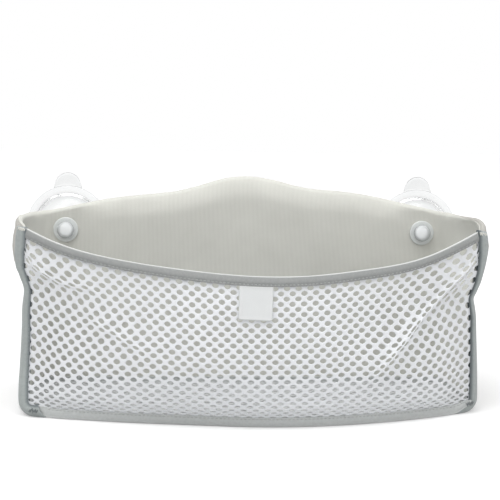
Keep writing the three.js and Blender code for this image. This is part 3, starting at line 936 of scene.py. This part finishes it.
def buildBand():
    part = bandPad
    faceRows, rollRows = part["faceRows"], part["rollRows"]
    rows = 2 * faceRows + rollRows + 1
    cloth = flatCloth(shell["length"], 1.0, part["columns"], rows)

    def clothRun(y):
        row = rowOf(y, rows)
        rolled = min(max(row - faceRows, 0), rollRows)
        return part["faceRun"] * (row - rolled) + part["rollRun"] * rolled

    mapCloth(cloth, clothRun)
    half = part["thick"] / 2
    for spot in cloth.verts:
        along = spot.co.x / shell["length"] + 0.5
        row = rowOf(spot.co.y, rows) % rows
        top = bandTop(along)
        plump = rollRadius(along)
        if row <= faceRows:
            level, depth, rise = row / faceRows, 0.0, 0.0
        elif row < faceRows + rollRows:
            angle = (row - faceRows) / rollRows * math.pi
            level, depth, rise = 1.0, half - plump * math.cos(angle), plump * math.sin(angle)
        else:
            level, depth, rise = (rows - 1 - row) / faceRows, part["thick"], 0.0
        z = mix(part["bottom"] + footLift(along), top - half - part["bead"], level) + rise
        if rise == 0.0:
            depth += -beadProud(top - z) if row <= faceRows else beadProud(top - z)
        spot.co = bandPoint(along, z, depth - bandSwell(along, z))
    bmesh.ops.remove_doubles(cloth, verts=cloth.verts, dist=1e-6)
    for centre in cupSpots:
        bmesh.ops.bridge_loops(cloth, edges=openHole(cloth, centre))
    bmesh.ops.holes_fill(cloth, edges=[edge for edge in cloth.edges if edge.is_boundary], sides=0)
    bmesh.ops.recalc_face_normals(cloth, faces=cloth.faces)
    piece = makePiece("band_padding", cloth, bandFinish, nodes=["outer_cloth", "foam_core"])


def buildLining():
    part = bandLining
    faceRows, rollRows = part["faceRows"], part["rollRows"]
    rows = faceRows + rollRows
    cloth = flatCloth(shell["length"], 1.0, part["columns"], rows)

    def clothRun(y):
        row = rowOf(y, rows)
        return part["faceRun"] * min(row, faceRows) + part["rollRun"] * max(row - faceRows, 0)

    mapCloth(cloth, clothRun)
    half = bandPad["thick"] / 2
    for spot in cloth.verts:
        along = spot.co.x / shell["length"] + 0.5
        row = rowOf(spot.co.y, rows)
        edge = bandTop(along) - half - bandPad["bead"]
        z = mix(bandPad["bottom"] + footLift(along), edge, min(row / faceRows, 1.0))
        depth = part["depth"] + beadProud(bandTop(along) - z)
        if row > faceRows:
            # painted shade: less of the turned edge at the right front end, where the darker band cloth
            # shows
            rolled = part["rolled"] * (1 - part["paintedShadeCut"] * ramp(along, *part["paintedShadeCutRun"]))
            angle = (row - faceRows) / rollRows * rolled
            radius = rollRadius(along) + part["thickness"] / 2
            z, depth = edge + radius * math.sin(angle), half + radius * math.cos(angle)
        spot.co = bandPoint(along, z, depth - bandSwell(along, z))
    for centre in cupSpots:
        openHole(cloth, centre)
    piece = makePiece("band_lining", cloth, liningFinish, nodes=["inner_lining"])
    thicken(piece, part["thickness"], levels=0)


# base tape: folded up round the band's lower edge
baseTape = {
    "width": 0.008, "thickness": 0.001, "gap": 0.0009, "far": 0.0063, "turn": 0.0022, "puff": 0.0004,
    "seam": 0.0015, "seamEnds": (0.01, 0.99), "columns": 190, "around": 22,
    "wave": (0.0003, 46.0, 0.02), "waveFrom": (0.001, 0.004),
}


def onBase(along, across):
    tape = baseTape
    gap, far, turn = tape["gap"], tape["far"], tape["turn"]
    wall = tape["width"] - turn
    flat = far + gap - 2 * turn
    arc = turn * math.pi / 2
    half = flat / 2 + arc + wall
    run = abs(across)
    if run < flat / 2:
        out, z = run, 0.0
    elif run < flat / 2 + arc:
        angle = (run - flat / 2) / turn
        out, z = flat / 2 + turn * math.sin(angle), turn * (1 - math.cos(angle))
    else:
        out, z = flat / 2 + turn, turn + run - flat / 2 - arc
    out += tape["puff"] * math.sin(math.pi * min(max(z / (tape["width"] - tape["seam"]), 0), 1))
    middle = (far - gap) / 2
    swing, pace, length = tape["wave"]
    pull = swing * ripple(along * pace, z / length, 6.4) * ramp(z, *tape["waveFrom"])
    depth = middle + math.copysign(out + pull, across)
    return bandPoint(along, z + tape["thickness"] / 2 + footLift(along), depth), half


def onBaseSeam(face, seam, along, lift):
    thick = baseTape["thickness"]
    along = mix(*baseTape["seamEnds"], along)
    spot = onBase(along, face * seam)[0]
    away = (bandPoint(along, spot.z, 0.0) - bandPoint(along, spot.z, thick)).normalized() * -face
    return spot + away * (thick / 2 + stitch["proud"] + lift)


def buildBaseTape():
    tape = baseTape
    half = onBase(0.5, 0.0)[1]
    strip = flatCloth(shell["length"], 2 * half, tape["columns"], tape["around"])
    mapCloth(strip)
    for spot in strip.verts:
        spot.co = onBase(spot.co.x / shell["length"] + 0.5, spot.co.y)[0]
    piece = makePiece("base_tape", strip, tapeFinish, nodes=["base_binding"])
    thicken(piece, tape["thickness"])
    thread = bmesh.new()
    for face in (1, -1):
        sewStitches(thread, partial(onBaseSeam, face, half - tape["seam"]), shell["length"])
    makePiece("base_stitches", thread, threadLight)


# floor net, laid on the base tapes' ring
floorNet = {
    "width": 0.368, "length": 0.140, "columns": 37, "rows": 17, "strand": 0.00092, "wide": 1.19,
    "thickness": 0.0008, "height": 0.0035, "edgeDepth": 0.0071, "frontInset": 0.0022, "edgeSteps": 80,
    "sag": (0.0012, 0.05, 0.0008), "sagFrom": (0.03, 0.2), "sagSides": 1.3,  # swing, length and mean
    "cornerLift": (0.9, 0.016),  # share of the foot's rounding, and over what width
}


def buildFloorNet():
    part = floorNet
    cloth = holeNet(part)
    flatArea = sum(face.calc_area() for face in cloth.faces)
    z = part["height"]
    corner = bandPoint(1.0, z, part["edgeDepth"])
    steps = part["edgeSteps"]
    edgeSpots = [
        bandPoint(1.0 - shell["sideRun"] * k / steps, z, part["edgeDepth"]) for k in range(steps + 1)
    ]
    swing, length, mean = part["sag"]
    cornerShare, cornerWidth = part["cornerLift"]

    def halfAt(y):
        low, high = max(
            ((a, b) for a, b in zip(edgeSpots, edgeSpots[1:]) if a.y <= y),
            key=lambda pair: pair[0].y, default=(edgeSpots[0], edgeSpots[1]),
        )
        return mix(low.x, high.x, min((y - low.y) / max(high.y - low.y, 1e-9), 1.0))

    rowHalf = {}
    for spot in cloth.verts:
        side = 2 * spot.co.x / part["width"]
        back = spot.co.y / part["length"] + 0.5
        edge = mix(corner.y, backY - part["edgeDepth"], back)
        if round(edge, 7) not in rowHalf:
            rowHalf[round(edge, 7)] = halfAt(edge)
        front = frontPoint(side * corner.x / panelHalf(z), z, -part["frontInset"])
        bow = (1 - back) ** 2
        x = mix(side * rowHalf[round(edge, 7)], front.x, bow)
        y = edge + bow * (front.y - corner.y)
        away = min(0.5 - abs(back - 0.5), (1 - abs(side)) * part["sagSides"])
        sag = (swing * ripple(x / length, y / length, 1.9) - mean) * ramp(away, *part["sagFrom"])
        near = max(0.0, 1 - (edge - corner.y) / shell["footRun"]) ** 2  # the front corners turn up
        inner = ramp((1 - abs(side)) * part["width"] / 2, 0.0, cornerWidth)
        lift = cornerShare * shell["footRound"] * near * (1 - inner)
        spot.co = Vector((x, y, z + sag + lift))
    piece = makePiece("floor_net", cloth, floorNetShadeFinish, nodes=["floor_mesh"])
    thicken(piece, part["thickness"])


# bare label, hung from the rim tape
labelPatch = {
    "size": 0.027, "steps": 22, "drop": 0.0072, "lift": 0.0013, "thickness": 0.0008, "round": 0.0010,
    "hem": (0.00018, 0.0014, 0.0006),  # height, width and fade
    "curl": (0.0006, 0.0004), "shrink": 0.0007,
    "aside": (-0.0007, -0.0012),  # it hangs a little aslant: at its top, and more at its foot
}


def buildLabel():
    part = labelPatch
    size = part["size"]
    cloth = flatCloth(size, size, part["steps"], part["steps"])
    mapCloth(cloth)
    hem, hemWidth, hemFade = part["hem"]
    curled, cupped = part["curl"]
    for spot in cloth.verts:
        x, y = spot.co.x, spot.co.y
        cornerX = max(abs(x) - (size / 2 - part["round"]), 0.0)
        cornerY = max(abs(y) - (size / 2 - part["round"]), 0.0)
        if cornerX > 0 and cornerY > 0:
            pull = 1 - max(cornerX, cornerY) / math.hypot(cornerX, cornerY)
            x -= math.copysign(cornerX * pull, x)
            y -= math.copysign(cornerY * pull, y)
        fromEdge = size / 2 - max(abs(x), abs(y))
        border = hem * (1 - ramp(fromEdge, hemWidth, hemWidth + hemFade))
        down = 0.5 - y / size
        curl = curled * down * down + cupped * down * (2 * x / size) ** 2
        u = (x + part["aside"][0] + part["aside"][1] * down) / panelHalf(rimHeight(0))
        z = rimHeight(u) - part["drop"] - down * (size - part["shrink"])
        spot.co = frontPoint(u, z, part["lift"] + border + curl)
    piece = makePiece("label_patch", cloth, labelFinish, nodes=["front_label"])
    thicken(piece, part["thickness"])


# bar tacks: ragged close stitches over two long ones across a corner tape's top, loose ones at its foot
tack = {
    "rim": {"length": 0.0066, "width": 0.0030, "count": 9, "thread": 0.00075, "tangle": 0.0005,
            "long": (-0.0008, 0.0009), "inset": 0.0026, "proud": 0.0029,
            "drop": {-1: 0.0022, 1: 0.0036}},  # below the tape's top end
    "base": {"length": 0.0072, "width": 0.0040, "count": 9, "thread": 0.00065, "tangle": 0.0036,
             "long": (), "proud": 0.0041,
             "spot": {-1: (0.0056, 0.0116), 1: (0.0088, 0.0064)}},  # height and inset
    "lean": 0.0005, "ragged": 0.5,  # of a stitch: to either side, and share of its length
    "slantHeights": (0.14, 0.15),  # where it follows the tape's slanted end
}


def tackPath(side, height, proud, ends, along, lift):
    reach, rise = mix(ends[0], ends[2], along), mix(ends[1], ends[3], along)
    slant = cornerTape["slant"][side] * reach / cornerTape["width"] * ramp(height, *tack["slantHeights"])
    z = height + rise - slant
    return frontPoint(side * (panelHalf(z) - reach) / panelHalf(z), z, proud + lift)


def buildTack(name, side, level, height, inset, finish):
    part = tack[level]
    thread = bmesh.new()

    def sew(ends, length):
        path = partial(tackPath, side, height, part["proud"], ends)
        sewStitches(thread, path, length, size=(length, part["thread"], part["thread"]), gap=0.0)

    for k in range(part["count"]):
        reach = inset + part["length"] * (k + 0.5) / part["count"]
        lean = tack["lean"] * (-1) ** k + part["tangle"] * ripple(k * 0.7, side * 3.0, height * 90)
        half = part["width"] / 2 * (1 + tack["ragged"] * ripple(k * 0.9, side * 5.0, 1.7))
        lift = part["tangle"] * 0.5 * ripple(k * 1.3, side * 7.0, 4.6)
        sew((reach - lean, lift - half, reach + lean, lift + half), 2 * half)
    for rise in part["long"]:
        sew((inset, rise, inset + part["length"], rise), part["length"])
    makePiece(f"{name}_{level}_tack", thread, finish, nodes=[f"{name}_{level}_bar_tack"])


def buildTacks():
    rim = tack["rim"]
    for name, side in (("left", -1), ("right", 1)):
        height = shell["cornerHeight"] + cornerTape["rise"][side] - rim["drop"][side]
        buildTack(name, side, "rim", height, rim["inset"], threadTack)
        # the tack at the foot in dark thread, partly painted shade of the hollow there
        buildTack(name, side, "base", *tack["base"]["spot"][side], threadDarkAndShade)


# suction cups, eyelets and washers: turned about the y axis
cup = {
    "steps": 72, "radius": 0.0375, "lipWidth": 0.007, "lip": 0.002, "lipFlat": 0.004, "cavity": 0.010,
    "wall": 0.020, "shoulder": 0.010, "dome": 0.0287, "domeTurn": 0.0004, "domeEnd": (0.0022, 0.0006),
    "curve": 12,  # steps of the dome's and the hollow's curve
    "stem": 0.0045, "seat": 0.0018, "edge": 0.0008, "fillet": 0.0006,
    "knob": 0.0075, "knobEnd": -0.013, "knobFace": -0.0075, "knobRound": (0.0036, 0.96),
    "tabHalf": 0.0125, "tabReach": 0.0125, "tabSunk": 0.0012, "tabMargin": 0.02,
    "tabSteps": (0.12, 0.45, 0.8, 1.0),  # the pull tab is drawn out of the lip
    "rimSlope": 0.3, "rimNear": 0.0002,  # what counts as the lip's edge
}


def turnProfile(form, profile, steps):
    spots = [form.verts.new((radius, y, 0.0)) for radius, y in profile]
    edges = [form.edges.new(pair) for pair in zip(spots, spots[1:])]
    bmesh.ops.spin(form, geom=spots + edges, axis=(0, 1, 0), cent=(0, 0, 0), steps=steps, angle=math.tau,
                   use_merge=True)
    bmesh.ops.remove_doubles(form, verts=form.verts, dist=1e-6)
    bmesh.ops.recalc_face_normals(form, faces=form.faces)


# points of a quarter turn between two points round a corner
def arc(start, finish, corner, count):
    spots = []
    for k in range(count + 1):
        t = k / count
        spots.append(tuple(
            a * (1 - t) ** 2 + c * 2 * t * (1 - t) + b * t * t for a, b, c in zip(start, finish, corner)
        ))
    return spots


# the same, with both points given from the corner
def rounded(corner, start, finish, count):
    ends = [(corner[0] + step[0], corner[1] + step[1]) for step in (start, finish)]
    return arc(*ends, corner, count)


def cupProfile():
    part = cup
    wall, radius, edge, fillet = part["wall"], part["radius"], part["edge"], part["fillet"]
    stem, seat = part["stem"], part["seat"]
    lipBack = wall - part["lip"]
    domeFoot = lipBack - part["lip"] / 2
    angles = [k / part["curve"] * math.pi / 2 for k in range(part["curve"] + 1)]
    dome = [
        (mix(part["shoulder"], part["dome"], math.sin(a)), mix(seat, domeFoot, 1 - math.cos(a)))
        for a in angles
    ]
    hollow = [
        ((radius - part["lipWidth"]) * math.cos(a), wall - part["cavity"] * math.sin(a))
        for a in angles[:-1]
    ]
    knob, end, face = part["knob"], part["knobEnd"], part["knobFace"]
    rise, full = part["knobRound"]
    profile = arc((0.0, end), (knob, end + rise), (knob * full, end), 9)
    profile += rounded((knob, face), (0, -edge), (-edge, 0), 3)
    profile += rounded((stem, face), (edge, 0), (0, edge), 3)
    profile += rounded((stem, seat), (0, -fillet), (fillet, 0), 3)
    profile += [(part["shoulder"] - edge, seat)] + dome[:-1]
    (out, up), turn = part["domeEnd"], part["domeTurn"]
    profile += arc(dome[-1], (part["dome"] + out, domeFoot + up), (part["dome"] + turn, domeFoot + turn), 3)
    profile += rounded((radius, lipBack), (-edge, 0), (0, fillet), 2)
    profile += rounded((radius, wall), (0, -fillet), (-edge, 0), 2)
    return profile + [(radius - part["lipFlat"], wall)] + hollow + [(0.0, wall - part["cavity"])]


def buildCup(name, centre):
    part = cup
    radius = part["radius"]
    form = bmesh.new()
    turnProfile(form, cupProfile(), part["steps"])
    reach = math.asin(part["tabHalf"] / radius) + part["tabMargin"]

    def onRimEdge(face):
        middle = face.calc_center_median().xz
        turned = abs(face.normal.y) < part["rimSlope"] and middle.length > radius - part["rimNear"]
        return turned and abs(math.atan2(middle.x, middle.y)) < reach

    rimFaces = [face for face in form.faces if onRimEdge(face)]
    angles = {}
    sunk = part["tabSunk"]
    for share in part["tabSteps"]:
        grown = bmesh.ops.extrude_face_region(form, geom=rimFaces)["geom"]
        bmesh.ops.delete(form, geom=rimFaces, context="FACES")
        rimFaces = [item for item in grown if isinstance(item, bmesh.types.BMFace)]
        for spot in {spot for face in rimFaces for spot in face.verts}:
            angle = math.asin(max(min(spot.co.x / radius, 1), -1))
            place = angles.get(tuple(round(c, 7) for c in spot.co), angle)
            turn = place / reach * math.pi / 2
            start = Vector((radius * math.sin(place), radius * math.cos(place)))
            height = radius - sunk + (part["tabReach"] + sunk) * math.cos(turn)
            finish = Vector((part["tabHalf"] * math.sin(turn), height))
            flat = start.lerp(finish, share)
            spot.co = Vector((flat.x, spot.co.y, flat.y))
            angles[tuple(round(c, 7) for c in spot.co)] = place
    bmesh.ops.recalc_face_normals(form, faces=form.faces)
    for face in form.faces:
        face.material_index = 1 if face.calc_center_median().y < 0 else 0
    bmesh.ops.translate(form, vec=centre, verts=form.verts)
    piece = makePiece(name + "_cup", form, clearVinyl, body=name + "_cup",
                      nodes=[name + "_suction_cup"])
    piece.data.materials.append(milkyVinyl)
    soft = piece.modifiers.new("soft", "SUBSURF")
    soft.levels = 1
    soft.render_levels = 1


eyelet = {
    "bore": 0.0048, "barrel": 0.0063, "flange": 0.011, "back": 0.0015, "front": -0.0072, "seat": -0.0057,
    "washerBore": 0.0066, "washerLow": 0.0003, "edge": 0.0006, "chamfer": 0.0003, "steps": 48,
}


def buildRing(name, profile, centre, node):
    form = bmesh.new()
    turnProfile(form, profile, eyelet["steps"])
    bmesh.ops.translate(form, vec=centre, verts=form.verts)
    makePiece(name, form, plastic, nodes=[node])


def buildEyelet(name, centre):
    part = eyelet
    edge, chamfer = part["edge"], part["chamfer"]
    bore, barrel, flange = part["bore"], part["barrel"], part["flange"]
    front, back, seat = part["front"], part["back"], part["seat"]
    ring = rounded((bore, front), (0, edge), (edge, 0), 3)
    ring += rounded((flange, front), (-2 * edge, 0), (0, edge), 4)
    ring += [(flange, seat), (barrel, seat), (barrel, back - chamfer), (barrel - chamfer, back),
             (bore, back), ring[0]]
    buildRing(name + "_eyelet_ring", ring, centre, name + "_eyelet")
    inner, low = part["washerBore"], part["washerLow"]
    washer = [(inner, low), (flange, low)] + rounded((flange, back), (0, -edge), (-edge, 0), 3)
    washer += [(inner, back), washer[0]]
    buildRing(name + "_washer", washer, centre, name + "_eyelet_washer")


buildFrontNet()
print("front net done")
buildTapes()
print("tapes done")
buildBand()
buildLining()
buildBaseTape()
print("band done")
buildFloorNet()
buildLabel()
buildTacks()
print("floor, label and tacks done")
for name, centre in zip(("left", "right"), cupSpots):
    buildCup(name, centre)
    buildEyelet(name, centre)
print("cups and eyelets done")

# white floor that keeps the shadow
studio = {
    "world": 0.50,
    "floorSize": 6.0, "floorColour": (219, 219, 219), "floorRough": 0.9, "floorShine": 0.1,
    "glow": (0.31, 0.62), "glowFrom": (0.3, 1.6),  # near and far, and how far from the middle
    "footprint": (0.195, 0.080), "footprintFade": 0.75,  # no glow under the basket
    "aim": (0, 0, 0.08),
    "lamps": {  # place, size and power
        "key": ((-0.7, -0.9, 1.7), 1.3, 14.0),
        "fill": ((1.3, -1.2, 0.9), 1.2, 5.5),
        "top": ((0.0, -0.1, 1.9), 1.4, 18.0),
    },
}


# what the camera sees, straight, through clear things or in shiny ones
def seenShare(tree):
    path = addNode(tree, "LightPath").outputs
    seen = mathNode(tree, "MAXIMUM", path["Is Camera Ray"], path["Is Transmission Ray"])
    return mathNode(tree, "MAXIMUM", seen, path["Is Glossy Ray"])


def vectorLength(tree, vector):
    node = addNode(tree, "VectorMath", operation="LENGTH")
    feed(node.inputs[0], vector)
    return node.outputs["Value"]


def floorFinish():
    finish, tree, shader = newFinish(
        "white floor", Base_Color=linearColour(*studio["floorColour"]), Roughness=studio["floorRough"],
        Specular_IOR_Level=studio["floorShine"],
    )
    place = objectPlace(tree)
    (start, end), (near, far) = studio["glowFrom"], studio["glow"]
    away = vectorLength(tree, place)
    glow = rangeNode(tree, away, From_Min=start, From_Max=end, To_Min=near, To_Max=far)
    across, along = studio["footprint"]
    scaled = addNode(tree, "VectorMath", operation="MULTIPLY")
    feed(scaled.inputs[0], place)
    feed(scaled.inputs[1], (1 / across, 1 / along, 0.0))
    within = vectorLength(tree, scaled.outputs[0])
    free = rangeNode(tree, within, From_Min=studio["footprintFade"], From_Max=1.0)
    strength = mathNode(tree, "MULTIPLY", seenShare(tree), glow)
    strength = mathNode(tree, "MULTIPLY", strength, free)
    light = setInputs(addNode(tree, "Emission"), Strength=strength)
    both = addNode(tree, "AddShader")
    feed(both.inputs[0], shader.outputs[0])
    feed(both.inputs[1], light.outputs[0])
    setInputs(tree.nodes["Material Output"], Surface=both.outputs[0])
    return finish


def buildStudio():
    form = bmesh.new()
    bmesh.ops.create_grid(form, x_segments=1, y_segments=1, size=studio["floorSize"])
    mesh = bpy.data.meshes.new("floor")
    form.to_mesh(mesh)
    form.free()
    floor = bpy.data.objects.new("floor", mesh)
    bpy.context.collection.objects.link(floor)
    mesh.materials.append(floorFinish())

    world = bpy.data.worlds.new("white studio")
    bpy.context.scene.world = world
    world.use_nodes = True
    tree = world.node_tree
    level = studio["world"]
    strength = mathNode(tree, "MULTIPLY_ADD", seenShare(tree), 1.0 - level, level)
    setInputs(tree.nodes["Background"], Color=(1, 1, 1, 1), Strength=strength)

    for label, (place, size, power) in studio["lamps"].items():
        lamp = bpy.data.lights.new(label, "AREA")
        lamp.shape = "DISK"
        lamp.size = size
        lamp.energy = power
        holder = bpy.data.objects.new(label, lamp)
        holder.location = place
        holder.rotation_euler = (Vector(studio["aim"]) - Vector(place)).to_track_quat("-Z", "Y").to_euler()
        bpy.context.collection.objects.link(holder)


# camera at the picture's height and angle, in radians
view = {"eye": (-0.07266, -1.0, 0.25236), "yaw": 0.0721, "pitch": 0.1187, "roll": 0.0173, "lens": 85.63,
        "sensor": 36.0}


def buildCamera():
    eye = bpy.data.cameras.new("camera")
    eye.lens = view["lens"]
    eye.sensor_width = view["sensor"]
    holder = bpy.data.objects.new("camera", eye)
    holder.location = view["eye"]
    tilt = Matrix.Rotation(math.pi / 2 - view["pitch"], 3, "X")
    turn = Matrix.Rotation(-view["yaw"], 3, "Z") @ tilt @ Matrix.Rotation(view["roll"], 3, "Z")
    holder.rotation_euler = turn.to_euler()
    bpy.context.collection.objects.link(holder)
    bpy.context.scene.camera = holder
    bpy.context.scene.view_settings.view_transform = "Standard"


buildStudio()
buildCamera()
print("studio and camera set")
